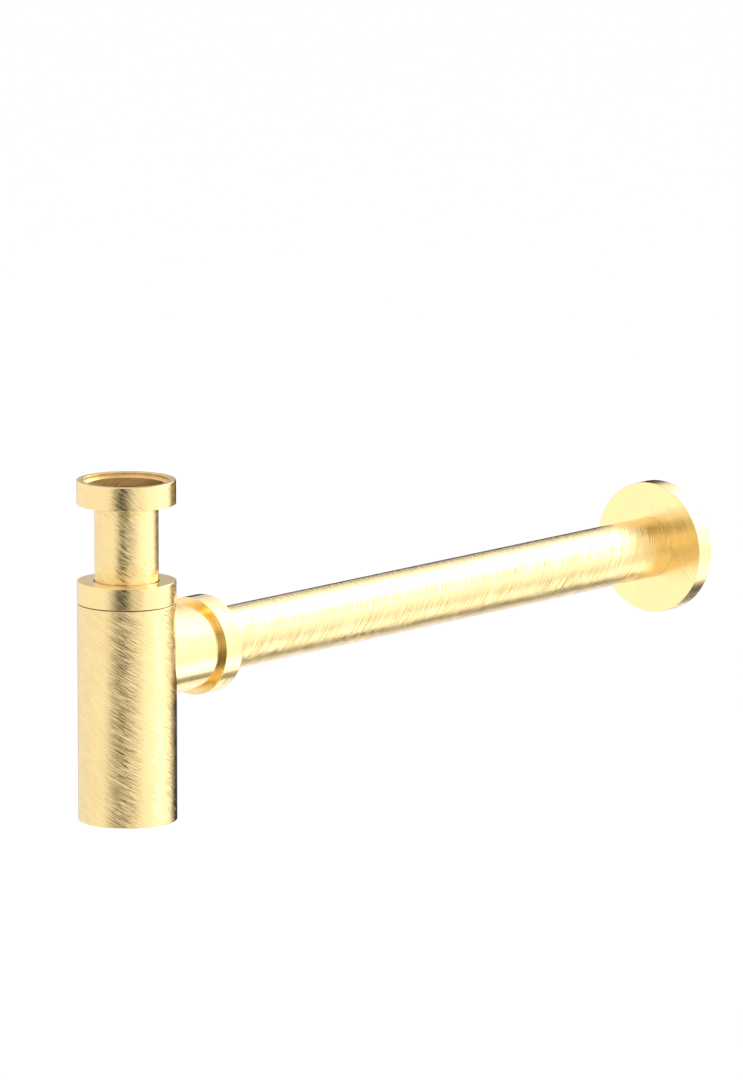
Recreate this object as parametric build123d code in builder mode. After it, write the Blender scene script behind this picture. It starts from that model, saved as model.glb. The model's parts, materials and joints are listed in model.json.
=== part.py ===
from build123d import *
import os

# Bottle trap for a wash basin, with its wall pipe and rosette. Millimetres.
# The origin is the middle of the inlet washer's upper face, where the tail of the basin waste sits.
# +Z is up along the bottle, and +X runs along the wall pipe towards the wall.

# Pipework: the dip tube and the wall pipe are the same 32 mm brass tube
tube_radius = 16.0
tube_wall = 1.0
tube_clearance = 0.3
seal_clearance = 0.05
edge_break = 0.3

# Inlet union: swivel nut for a G 1 1/4 waste tail, flat washer, collar on the dip tube
inlet_nut_radius = 24.75
inlet_nut_lip = 1.5
inlet_thread_radius = 19.476
inlet_thread_length = 5.2
inlet_thread_lead = 0.6
inlet_thread_relief = 1.7
mouth_recess_step = 2.0
mouth_recess_depth = 1.8
washer_thickness = 2.0
collar_thickness = 1.5
collar_clearance = 0.4

# Bottle: drawn shell with a base, a threaded neck and an outlet stub brazed to it
bottle_radius = 24.75
bottle_wall = 1.5
bottle_height = 109.6
base_thickness = 3.0
neck_ring_depth = 5.0
exposed_tube = 38.8
dip_clearance = 12.0
outlet_drop = 84.0
outlet_reach = 58.8
stub_step = 2.1

# Compression joints: cap on the neck, outlet nut on the stub, with the same ring and seal in both
cap_height = 11.0
seam_gap = 0.4
outlet_nut_radius = 24.75
outlet_nut_width = 12.0
nut_face = 2.5
slip_ring_thickness = 1.5
slip_ring_margin = 0.6
seal_stand = 1.6
seal_tip = 0.5
seat_depth = 2.0
seat_land = 0.7
joint_thread_lead = 0.5
joint_thread_clearance = 0.1

# Wall pipe and rosette
pipe_length = 400.0
pipe_insertion = 17.8
pipe_tail = 14.0
rosette_radius = 34.75
rosette_depth = 10.0
rosette_wall = 1.5
hub_wall = 1.5
hub_recess = 2.5
grip_ring_width = 3.0
grip_ring_section = 2.5
grip_ring_fit = 0.02

# Radii round the tube: its bore, what it passes through, what seals on it, the joint's seat and thread
bore_radius = tube_radius - tube_wall
passage_radius = tube_radius + tube_clearance
gland_radius = tube_radius + seal_clearance
seat_radius = passage_radius + seat_depth
joint_thread_radius = seat_radius + seat_land + joint_thread_lead
stub_radius = joint_thread_radius + stub_step
collar_radius = inlet_thread_radius - collar_clearance
relief_radius = inlet_thread_radius + inlet_thread_relief
mouth_recess_radius = inlet_thread_radius + mouth_recess_step
shell_bore = bottle_radius - bottle_wall
groove_radius = gland_radius + grip_ring_section
hub_radius = groove_radius + hub_wall

# Heights along the bottle's axis, from the washer's upper face
nut_top = inlet_thread_length + mouth_recess_depth
collar_top = -washer_thickness
lip_top = collar_top - collar_thickness
nut_bottom = lip_top - inlet_nut_lip
cap_top = nut_bottom - exposed_tube
shoulder = cap_top - cap_height - seam_gap
bottle_bottom = shoulder - bottle_height
dip_end = bottle_bottom + base_thickness + dip_clearance

# Steps inward from the outer face of either compression nut
ring_seat = -nut_face
seal_top = ring_seat - slip_ring_thickness
mouth = seal_top - seal_stand
seat_bottom = mouth - seat_depth
stub_shoulder = -outlet_nut_width - joint_thread_clearance

# Stations along the wall pipe's axis
pipe_start = outlet_reach + mouth - pipe_insertion
wall_face = pipe_start + pipe_length - pipe_tail

# Turning planes: each plane's Z is the axis of what is turned on it
cap_plane = Plane.XY.offset(cap_top)
bottle_plane = Plane.XY.offset(bottle_bottom)
branch_plane = Plane((0, 0, -outlet_drop), x_dir=(0, 1, 0), z_dir=(1, 0, 0))
outlet_plane = branch_plane.offset(outlet_reach)
wall_plane = branch_plane.offset(wall_face)


def section(plane):
    """Plane of a half section: radius across, height along the turning axis."""
    return Plane(plane.origin, x_dir=plane.x_dir, z_dir=-plane.y_dir)


def axis_of(plane):
    """Turning axis of a plane."""
    return Axis(plane.origin, plane.z_dir)


def rims(piece, radius):
    """Round edges of a piece at one radius."""
    circles = piece.edges().filter_by(GeomType.CIRCLE)
    return circles.filter_by(lambda edge: abs(edge.radius - radius) < 1e-4)


def compression_nut(plane, radius, height):
    """Round nut: a face that presses on the slip ring, and a threaded skirt behind it."""
    thread_radius = joint_thread_radius + joint_thread_clearance
    with BuildPart() as nut:
        with BuildSketch(section(plane)):
            with BuildLine():
                Polyline(
                    (passage_radius, 0),
                    (radius, 0),
                    (radius, -height),
                    (thread_radius, -height),
                    (thread_radius, ring_seat),
                    (passage_radius, ring_seat),
                    close=True,
                )
            make_face()
        revolve(axis=axis_of(plane))
        chamfer(rims(nut, radius), edge_break)
    return nut


def slip_ring(plane):
    """Flat nylon ring that lets the nut turn without dragging the seal."""
    with BuildPart() as ring:
        with BuildSketch(plane.offset(seal_top)):
            Circle(joint_thread_radius - slip_ring_margin)
            Circle(passage_radius, mode=Mode.SUBTRACT)
        extrude(amount=slip_ring_thickness)
    return ring


def cone_seal(plane):
    """Rubber ring with a cone that is pressed into the seat and round the tube."""
    with BuildPart() as seal:
        with BuildSketch(section(plane)):
            with BuildLine():
                Polyline(
                    (gland_radius, seal_top),
                    (seat_radius, seal_top),
                    (seat_radius, mouth),
                    (passage_radius + seal_tip, seat_bottom + seal_tip),
                    (gland_radius, seat_bottom + seal_tip),
                    close=True,
                )
            make_face()
        revolve(axis=axis_of(plane))
    return seal


# Inlet nut: mouth recess, thread with a lead-in, relief for washer and collar, inward lip
with BuildPart() as inlet_nut:
    with BuildSketch(section(Plane.XY)):
        with BuildLine():
            Polyline(
                (mouth_recess_radius, nut_top),
                (inlet_nut_radius, nut_top),
                (inlet_nut_radius, nut_bottom),
                (passage_radius, nut_bottom),
                (passage_radius, lip_top),
                (relief_radius, lip_top),
                (relief_radius, 0),
                (inlet_thread_radius, 0),
                (inlet_thread_radius, inlet_thread_length - inlet_thread_lead),
                (inlet_thread_radius + inlet_thread_lead, inlet_thread_length),
                (mouth_recess_radius, inlet_thread_length),
                close=True,
            )
        make_face()
    revolve(axis=Axis.Z)
    chamfer(rims(inlet_nut, inlet_nut_radius), edge_break)

# Inlet washer: flat rubber ring between the waste tail and the tube's collar
with BuildPart() as inlet_washer:
    with BuildSketch(Plane.XY.offset(collar_top)):
        Circle(collar_radius)
        Circle(bore_radius, mode=Mode.SUBTRACT)
    extrude(amount=washer_thickness)

# Inlet tube: collar at the top, plain tube through the cap, open end deep in the bottle
with BuildPart() as inlet_tube:
    with BuildSketch(section(Plane.XY)):
        with BuildLine():
            Polyline(
                (bore_radius, collar_top),
                (collar_radius, collar_top),
                (collar_radius, lip_top),
                (tube_radius, lip_top),
                (tube_radius, dip_end),
                (bore_radius, dip_end),
                close=True,
            )
        make_face()
    revolve(axis=Axis.Z)

# Bottle shell: drawn tube, opened at the side for the outlet
with BuildPart() as bottle_shell:
    with BuildSketch(bottle_plane):
        Circle(bottle_radius)
        Circle(shell_bore, mode=Mode.SUBTRACT)
    extrude(amount=bottle_height)
    with BuildSketch(branch_plane):
        Circle(passage_radius)
    extrude(amount=bottle_radius, mode=Mode.SUBTRACT)
    chamfer(rims(bottle_shell, bottle_radius), edge_break)

# Bottle base: disc brazed into the foot of the shell
with BuildPart() as bottle_base:
    with BuildSketch(bottle_plane):
        Circle(shell_bore)
    extrude(amount=base_thickness)

# Neck ring: brazed into the shell, carries the cap's thread and the seat of the cone seal
with BuildPart() as neck_ring:
    with BuildSketch(section(cap_plane)):
        neck_foot = shoulder - cap_top
        with BuildLine():
            Polyline(
                (passage_radius, neck_foot - neck_ring_depth),
                (shell_bore, neck_foot - neck_ring_depth),
                (shell_bore, neck_foot),
                (joint_thread_radius, neck_foot),
                (joint_thread_radius, mouth - joint_thread_lead),
                (joint_thread_radius - joint_thread_lead, mouth),
                (seat_radius, mouth),
                (passage_radius, seat_bottom),
                close=True,
            )
        make_face()
    revolve(axis=Axis.Z)

# Outlet stub: turned branch with a shoulder behind its thread, cut to a saddle where it stands on the shell
with BuildPart() as outlet_stub:
    with BuildSketch(section(outlet_plane)):
        with BuildLine():
            Polyline(
                (passage_radius, -outlet_reach),
                (stub_radius, -outlet_reach),
                (stub_radius, stub_shoulder),
                (joint_thread_radius, stub_shoulder),
                (joint_thread_radius, mouth - joint_thread_lead),
                (joint_thread_radius - joint_thread_lead, mouth),
                (seat_radius, mouth),
                (passage_radius, seat_bottom),
                close=True,
            )
        make_face()
    revolve(axis=axis_of(outlet_plane))
    with BuildSketch(bottle_plane):
        Circle(bottle_radius)
    extrude(amount=bottle_height, mode=Mode.SUBTRACT)

# Cap joint on the neck, outlet joint on the stub
top_cap = compression_nut(cap_plane, bottle_radius, cap_height)
tube_slip_ring = slip_ring(cap_plane)
tube_cone_seal = cone_seal(cap_plane)
outlet_nut = compression_nut(outlet_plane, outlet_nut_radius, outlet_nut_width)
pipe_slip_ring = slip_ring(outlet_plane)
pipe_cone_seal = cone_seal(outlet_plane)

# Wall pipe: plain tube, cut square and deburred at both ends
with BuildPart() as wall_pipe:
    with BuildSketch(branch_plane.offset(pipe_start)):
        Circle(tube_radius)
        Circle(bore_radius, mode=Mode.SUBTRACT)
    extrude(amount=pipe_length)
    chamfer(rims(wall_pipe, tube_radius), edge_break)

# Rosette: shallow cup open to the wall, with a grooved hub round the pipe
front_inside = rosette_wall - rosette_depth
groove_middle = (front_inside - hub_recess) / 2
groove_front = groove_middle - grip_ring_width / 2
groove_back = groove_middle + grip_ring_width / 2
with BuildPart() as wall_rosette:
    with BuildSketch(section(wall_plane)):
        with BuildLine():
            Polyline(
                (passage_radius, -rosette_depth),
                (rosette_radius, -rosette_depth),
                (rosette_radius, 0),
                (rosette_radius - rosette_wall, 0),
                (rosette_radius - rosette_wall, front_inside),
                (hub_radius, front_inside),
                (hub_radius, -hub_recess),
                (passage_radius, -hub_recess),
                (passage_radius, groove_back),
                (groove_radius, groove_back),
                (groove_radius, groove_front),
                (passage_radius, groove_front),
                close=True,
            )
        make_face()
    revolve(axis=axis_of(wall_plane))
    chamfer(rims(wall_rosette, rosette_radius).sort_by(Axis.X)[0], edge_break)

# Grip ring: rubber ring in the hub's groove that holds the rosette on the pipe
with BuildPart() as rosette_grip_ring:
    with BuildSketch(wall_plane.offset(groove_middle)):
        Circle(groove_radius - grip_ring_fit)
        Circle(gland_radius, mode=Mode.SUBTRACT)
    extrude(amount=grip_ring_width / 2 - grip_ring_fit, both=True)

pieces = {
    "inlet_nut": inlet_nut,
    "inlet_washer": inlet_washer,
    "inlet_tube": inlet_tube,
    "top_cap": top_cap,
    "tube_slip_ring": tube_slip_ring,
    "tube_cone_seal": tube_cone_seal,
    "neck_ring": neck_ring,
    "bottle_shell": bottle_shell,
    "bottle_base": bottle_base,
    "outlet_stub": outlet_stub,
    "outlet_nut": outlet_nut,
    "pipe_slip_ring": pipe_slip_ring,
    "pipe_cone_seal": pipe_cone_seal,
    "wall_pipe": wall_pipe,
    "wall_rosette": wall_rosette,
    "rosette_grip_ring": rosette_grip_ring,
}

os.makedirs("parts", exist_ok=True)
for name, piece in pieces.items():
    piece.part.label = name
    export_step(piece.part, f"parts/{name}.step")
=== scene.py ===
"""Looks of a brushed gold bottle trap: turned brass, cut threads, rubber and nylon seals, white studio.

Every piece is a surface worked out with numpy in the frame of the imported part. Sizes are in
millimetres until a spindle places the points, which are metres.
"""

import json
import logging
import math
from dataclasses import dataclass
from enum import Enum
from typing import Any, Callable, Mapping, Optional, Sequence, Union

import bmesh
import bpy
import numpy as np
from mathutils import Matrix, Vector


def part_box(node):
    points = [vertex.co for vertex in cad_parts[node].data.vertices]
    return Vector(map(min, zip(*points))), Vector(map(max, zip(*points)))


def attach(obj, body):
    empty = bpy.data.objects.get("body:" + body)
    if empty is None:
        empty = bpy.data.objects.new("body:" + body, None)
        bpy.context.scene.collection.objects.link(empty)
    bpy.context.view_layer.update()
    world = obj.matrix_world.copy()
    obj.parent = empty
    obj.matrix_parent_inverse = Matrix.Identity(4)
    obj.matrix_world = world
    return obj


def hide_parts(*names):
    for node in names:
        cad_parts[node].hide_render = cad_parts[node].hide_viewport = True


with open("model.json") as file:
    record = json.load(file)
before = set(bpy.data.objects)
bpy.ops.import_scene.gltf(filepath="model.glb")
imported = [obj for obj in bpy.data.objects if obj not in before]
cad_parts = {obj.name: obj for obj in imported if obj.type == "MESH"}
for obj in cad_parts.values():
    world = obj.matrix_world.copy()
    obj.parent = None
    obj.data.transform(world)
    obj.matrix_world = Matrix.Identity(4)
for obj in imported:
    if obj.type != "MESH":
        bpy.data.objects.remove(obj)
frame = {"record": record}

Array = np.ndarray
Material, Node, Socket = bpy.types.Material, bpy.types.Node, bpy.types.NodeSocket
Colour = tuple[float, float, float, float]
Corner = tuple[float, float, float]
Span = tuple[float, float]

LOG = logging.getLogger("bottle_trap")
MM = 0.001
TURN = 2 * math.pi
RADIAN = math.degrees(1)
X, Y, Z = 0, 1, 2
WALL, FACE, BORE = 0, 1, 2
WHITE: Colour = (1.0, 1.0, 1.0, 1.0)

# Turned surfaces: columns round the axis, points on a rounded corner and with its two supports, the
# supports' distance, and the shares of an edge that an arc and a support may take.
SEGMENTS = 192
ARC_STEPS = 5
CORNER_POINTS = ARC_STEPS + 2
SUPPORT = 0.12
ARC_ROOM, SUPPORT_ROOM = 0.4, 0.48
LEAST_TURN = 1e-4

# Meshes, in metres and degrees: points that are welded, slivers that go, edges that stay sharp.
WELD, SLIVER, CREASE = 2e-6, 1e-7, 40.0

# Noise texture: its average, its steepness for one cell of height 1, and its roughness.
NOISE_MEAN, NOISE_SLOPE, NOISE_ROUGHNESS = 0.5, 0.38, 0.55

# Mix node for colours: its inputs for the share and the two colours, and its output.
MIX_SHARE, MIX_FIRST, MIX_SECOND, MIX_COLOUR = 0, 6, 7, 2


class Lay(Enum):
    """Direction of a turned piece's axis."""

    UPRIGHT = "up the bottle"
    LEVEL = "along the wall pipe"


class Grain(Enum):
    """How the brush ran over a surface."""

    ROUND_BOTTLE = "round the upright axis"
    ROUND_PIPE = "round the level axis"
    ACROSS_TOP = "straight over a level face"
    ACROSS_FRONT = "straight over a face that looks along the pipe"


class Edge(float, Enum):
    """Rounding radius of a corner, in millimetres."""

    SQUARE = 0.0001
    SHAVED = 0.01
    KEEN = 0.02
    SCRAPED = 0.05
    CRISP = 0.1
    BROKEN = 0.15
    EASED = 0.2
    DEBURRED = 0.25
    ROUND = 0.3
    SOFT = 0.35
    FULL = 0.4
    FILLET = 0.5


def heading(degrees: float) -> Span:
    """Cosine and sine of an angle in degrees."""
    return math.cos(math.radians(degrees)), math.sin(math.radians(degrees))


def arithmetic(operation: str, swapped: bool = False) -> Callable[["Value", "Number"], "Value"]:
    """Method for an arithmetic sign between two numbers of a formula.

    Args:
        operation: the Math node's operation.
        swapped: whether the other number comes first.

    Returns:
        The method.
    """
    def method(self: "Value", other: "Number") -> "Value":
        """Value of the operation on both numbers."""
        return self.sheet.math(operation, *((other, self) if swapped else (self, other)))

    return method


class Value:
    """A number socket of a node sheet that can stand in a formula."""

    __add__, __radd__ = arithmetic("ADD"), arithmetic("ADD", swapped=True)
    __sub__, __rsub__ = arithmetic("SUBTRACT"), arithmetic("SUBTRACT", swapped=True)
    __mul__, __rmul__ = arithmetic("MULTIPLY"), arithmetic("MULTIPLY", swapped=True)
    __truediv__, __rtruediv__ = arithmetic("DIVIDE"), arithmetic("DIVIDE", swapped=True)

    def __init__(self, sheet: "NodeSheet", socket: Socket) -> None:
        """Keep the sheet that holds the socket."""
        self.sheet, self.socket = sheet, socket

    def __neg__(self) -> "Value":
        """Self with its sign turned."""
        return self.sheet.math("MULTIPLY", self, -1.0)

    def size(self) -> "Value":
        """Self without its sign."""
        return self.sheet.math("ABSOLUTE", self)

    def step(self, low: float, high: float) -> "Value":
        """Smooth step of self.

        Args:
            low: where the step is 0.
            high: where it is 1, which may lie below low.

        Returns:
            The step, from 0 to 1.
        """
        settings = {"interpolation_type": "SMOOTHSTEP"}
        sockets = {"Value": self, "From Min": min(low, high), "From Max": max(low, high)}
        rise = Value(self.sheet, self.sheet.add("ShaderNodeMapRange", settings, sockets).outputs[0])
        return rise if low < high else 1 - rise


Number = Union[Value, float]


class NodeSheet:
    """A node tree that is filled by formulas and by one method for every other node."""

    def __init__(self, tree: bpy.types.NodeTree) -> None:
        """Empty the tree and keep it."""
        self.tree = tree
        tree.nodes.clear()

    def add(
        self,
        kind: str,
        settings: Optional[Mapping[str, Any]] = None,
        sockets: Optional[Mapping[Union[str, int], Any]] = None,
    ) -> Node:
        """Add a node, set it up, then feed its sockets.

        Args:
            kind: Blender's type name of the node.
            settings: properties that are set before the sockets.
            sockets: value, Value or output socket for each input, by name or place.

        Returns:
            The node.
        """
        node = self.tree.nodes.new(kind)
        for name, setting in (settings or {}).items():
            setattr(node, name, setting)
        for name, fed in (sockets or {}).items():
            source = fed.socket if isinstance(fed, Value) else fed
            if isinstance(source, Socket):
                self.tree.links.new(source, node.inputs[name])
            else:
                node.inputs[name].default_value = source
        return node

    def math(self, operation: str, *terms: Number) -> Value:
        """Value of a Math node's operation on the terms."""
        node = self.add("ShaderNodeMath", {"operation": operation}, dict(enumerate(terms)))
        return Value(self, node.outputs[0])

    def split(self, vector: Socket) -> tuple[Value, Value, Value]:
        """The three numbers of a vector."""
        node = self.add("ShaderNodeSeparateXYZ", None, {0: vector})
        return Value(self, node.outputs[0]), Value(self, node.outputs[1]), Value(self, node.outputs[2])

    def metres(self) -> tuple[Value, Value, Value]:
        """Object coordinates in metres."""
        return self.split(self.add("ShaderNodeTexCoord").outputs["Object"])

    def millimetres(self) -> tuple[Value, Value, Value]:
        """Object coordinates in millimetres."""
        x, y, z = self.metres()
        return x / MM, y / MM, z / MM

    def noise(self, u: Number, v: Number, w: Number, detail: float) -> Value:
        """Noise at a point whose numbers are counted in pattern cells.

        Args:
            u: first number of the point.
            v: second number of the point.
            w: third number of the point.
            detail: octaves of the noise.

        Returns:
            The noise, near NOISE_MEAN on average.
        """
        point = self.add("ShaderNodeCombineXYZ", None, {0: u, 1: v, 2: w}).outputs[0]
        sockets = {"Vector": point, "Scale": 1.0, "Detail": detail, "Roughness": NOISE_ROUGHNESS}
        return Value(self, self.add("ShaderNodeTexNoise", None, sockets).outputs[0])

    def cloud(self, cells: float, detail: float) -> Value:
        """Noise that is even in all directions, with so many cells to the millimetre."""
        x, y, z = self.millimetres()
        return self.noise(x * cells, y * cells, z * cells, detail)

    def blend(self, share: Number, first: Any, second: Any) -> Socket:
        """Colour between first and second, by a share from 0 to 1."""
        sockets = {MIX_SHARE: share, MIX_FIRST: first, MIX_SECOND: second}
        return self.add("ShaderNodeMix", {"data_type": "RGBA"}, sockets).outputs[MIX_COLOUR]

    def bump(self, height: Value, distance: float, strength: float = 1.0) -> Socket:
        """Normal that is tilted by a height field."""
        sockets = {"Strength": strength, "Distance": distance, "Height": height}
        return self.add("ShaderNodeBump", None, sockets).outputs[0]

    def dress(self, sockets: Mapping[str, Any]) -> None:
        """End the sheet in a Principled surface with these sockets."""
        self.end(self.add("ShaderNodeBsdfPrincipled", None, sockets))

    def mix(self, share: Value, first: Node, second: Node) -> Node:
        """Mix Shader node between two shaders, by a share from 0 to 1."""
        return self.add("ShaderNodeMixShader", None, {0: share, 1: first.outputs[0], 2: second.outputs[0]})

    def end(self, shader: Node, kind: str = "ShaderNodeOutputMaterial") -> None:
        """Feed a shader to the sheet's output node."""
        self.add(kind, None, {0: shader.outputs[0]})


def new_sheet(name: str) -> tuple[Material, NodeSheet]:
    """New material with an empty node sheet.

    Args:
        name: the material's name.

    Returns:
        The material and its sheet.
    """
    material = bpy.data.materials.new(name)
    material.use_nodes = True
    return material, NodeSheet(material.node_tree)


@dataclass(frozen=True)
class BrushedGold:
    """Brass with a gold coat, brushed by hand: long tapering hairlines that catch the light.

    The hairlines are noise in a plane of arc and height, turned by the brush's slant and stretched
    along it. Round a wall two such planes have their seams on opposite sides and fade into each other.
    A broad layer of hairlines lies under the fine one, with its length, width and height given as
    shares of the fine one's. Ranges are the noise levels that a smooth step runs over.
    """

    name: str
    grain: Grain
    slant: float
    radius: float = 24.75
    axis_height: float = 0.0
    front: float = -139.0
    hair_length: float = 10.0
    hair_width: float = 0.5
    hair_detail: float = 1.0
    tilt: float = 0.12
    roughness: float = 0.16
    light: Colour = (1.0, 0.772, 0.385, 1.0)
    deep: Colour = (0.90, 0.665, 0.30, 1.0)
    seam_fade: float = 0.3
    layer_shift: float = 7.3
    fine_height: float = 0.9
    broad_height: float = 0.15
    broad_length: float = 2.2
    broad_width: float = 3.4
    broad_detail: float = 1.0
    broad_seed: float = 31.0
    fine_wear: float = 0.6
    broad_wear: float = 0.4
    wear_range: Span = (0.62, 0.36)
    wear_tint: float = 0.14
    patch_cells: float = 0.045
    patch_detail: float = 2.0
    patch_range: Span = (0.4, 0.75)
    patch_tint: float = 0.25
    roughness_swing: float = 0.08

    def planes(self, sheet: NodeSheet) -> tuple[list[tuple[Value, Value]], Optional[Value]]:
        """Planes in which the brush ran, in millimetres.

        Args:
            sheet: node sheet of the material.

        Returns:
            Pairs of distance across and distance up, and the share of the first pair where there are two.
        """
        x, y, z = sheet.millimetres()
        rise = z - self.axis_height
        if self.grain is Grain.ACROSS_TOP:
            return [(x, y)], None
        if self.grain is Grain.ACROSS_FRONT:
            return [(-y, rise)], None
        if self.grain is Grain.ROUND_BOTTLE:
            cosine, sine = heading(self.front)
            lead, side, along = x * cosine + y * sine, y * cosine - x * sine, z
        else:
            lead, side, along = -y, rise, x
        near = sheet.math("ARCTAN2", side, lead) * self.radius
        far = sheet.math("ARCTAN2", -side, -lead) * self.radius
        pairs = [(near, along), (far, along)]
        if self.grain is Grain.ROUND_PIPE:
            pairs = [(along, arc) for arc, along in pairs]
        return pairs, lead.step(-self.seam_fade * self.radius, self.seam_fade * self.radius)

    def hairs(self, sheet: NodeSheet, length: float, width: float, detail: float, seed: float) -> Value:
        """Stretched noise along the brush's slant.

        Args:
            sheet: node sheet of the material.
            length: length of a hairline, in millimetres.
            width: width of a hairline, in millimetres.
            detail: octaves of the noise.
            seed: place of the pattern, so that layers differ.

        Returns:
            Height of the hairlines, near NOISE_MEAN on average.
        """
        cosine, sine = heading(self.slant)
        pairs, share = self.planes(sheet)
        layers = []
        for number, (across, up) in enumerate(pairs):
            run = (across * cosine - up * sine) / length
            step = (across * sine + up * cosine) / width
            layers.append(sheet.noise(run, step, seed + self.layer_shift * number, detail))
        return layers[0] if share is None else share * layers[0] + (1 - share) * layers[1]

    def material(self) -> Material:
        """The finish as a node material.

        Returns:
            The material.
        """
        made, sheet = new_sheet(self.name)
        fine = self.hairs(sheet, self.hair_length, self.hair_width, self.hair_detail, 0.0)
        length, width = self.broad_length * self.hair_length, self.broad_width * self.hair_width
        broad = self.hairs(sheet, length, width, self.broad_detail, self.broad_seed)
        patch = sheet.cloud(self.patch_cells, self.patch_detail)
        height = self.fine_height * fine + self.broad_height * broad
        worn = (fine * self.fine_wear + broad * self.broad_wear).step(*self.wear_range)
        swing = self.roughness_swing
        rough = self.roughness + swing * (fine - NOISE_MEAN) + swing * (patch - NOISE_MEAN)
        tint = self.wear_tint * worn + self.patch_tint * patch.step(*self.patch_range)
        colour = sheet.blend(tint, self.light, self.deep)
        normal = sheet.bump(height, self.tilt * self.hair_width / NOISE_SLOPE * MM)
        sheet.dress({"Base Color": colour, "Metallic": 1.0, "Roughness": rough, "Normal": normal})
        return made


@dataclass(frozen=True)
class Moulded:
    """Matt moulded stuff: a clear colour that clouds over in patches, and a fine skin.

    Cells are counted to the millimetre, and the skin's height is in millimetres.
    """

    name: str
    clear: Colour
    cloudy: Colour
    cloud_cells: float
    cloud_range: Span
    roughness: float
    roughness_rise: float
    skin_cells: float
    skin_detail: float
    skin_height: float
    skin_strength: float
    cloud_detail: float = 3.0

    def material(self) -> Material:
        """The finish as a node material.

        Returns:
            The material.
        """
        made, sheet = new_sheet(self.name)
        cloud = sheet.cloud(self.cloud_cells, self.cloud_detail)
        skin = sheet.cloud(self.skin_cells, self.skin_detail)
        colour = sheet.blend(cloud.step(*self.cloud_range), self.clear, self.cloudy)
        normal = sheet.bump(skin, self.skin_height * MM, self.skin_strength)
        rough = self.roughness + self.roughness_rise * cloud
        sheet.dress({"Base Color": colour, "Roughness": rough, "Normal": normal})
        return made


@dataclass(frozen=True)
class SealRubber(Moulded):
    """Black moulded rubber with a fine pebbled skin and a dusty bloom."""

    name: str = "seal_rubber"
    clear: Colour = (0.018, 0.018, 0.019, 1.0)
    cloudy: Colour = (0.055, 0.055, 0.056, 1.0)
    cloud_cells: float = 0.25
    cloud_range: Span = (0.42, 0.7)
    roughness: float = 0.52
    roughness_rise: float = 0.25
    skin_cells: float = 4.0
    skin_detail: float = 2.0
    skin_height: float = 0.03
    skin_strength: float = 0.6


@dataclass(frozen=True)
class SlipNylon(Moulded):
    """Milky nylon, faced on a lathe, with faint cloudiness."""

    name: str = "slip_nylon"
    clear: Colour = (0.80, 0.80, 0.76, 1.0)
    cloudy: Colour = (0.70, 0.70, 0.64, 1.0)
    cloud_cells: float = 0.3
    cloud_range: Span = (0.4, 0.7)
    roughness: float = 0.36
    roughness_rise: float = 0.15
    skin_cells: float = 6.0
    skin_detail: float = 1.0
    skin_height: float = 0.01
    skin_strength: float = 0.5


@dataclass(frozen=True)
class Spindle:
    """Axis that a piece is turned on: its lay, and its height above the origin where it is level."""

    lay: Lay
    height: float = 0.0

    def place(self, radius: Array, along: Array, angle: Array) -> Array:
        """Points at a radius and an angle about the axis and a distance along it.

        Upright: radius times cosine and sine in X and Y, along in Z. Level: along in X, and radius
        times cosine and sine in Y and Z. Both turn right-handed about the axis.

        Args:
            radius: distances from the axis, in millimetres.
            along: distances along the axis, in millimetres.
            angle: angles about the axis, in radians.

        Returns:
            Points in metres, in the last axis of the array.
        """
        radius, along, angle = np.broadcast_arrays(radius, along, angle)
        across, up = radius * np.cos(angle), radius * np.sin(angle)
        if self.lay is Lay.UPRIGHT:
            return np.stack([across, up, along + self.height], -1) * MM
        return np.stack([along, across, up + self.height], -1) * MM


UPRIGHT = Spindle(Lay.UPRIGHT)


@dataclass(frozen=True)
class Surface:
    """Points, four-cornered faces and the finish number of each face."""

    points: Array
    faces: Array
    finish: Array

    def __add__(self, other: "Surface") -> "Surface":
        """Both surfaces as one; shared edges are welded when the piece is made."""
        return Surface(
            np.vstack([self.points, other.points]),
            np.vstack([self.faces, other.faces + len(self.points)]),
            np.concatenate([self.finish, other.finish]),
        )


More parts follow.
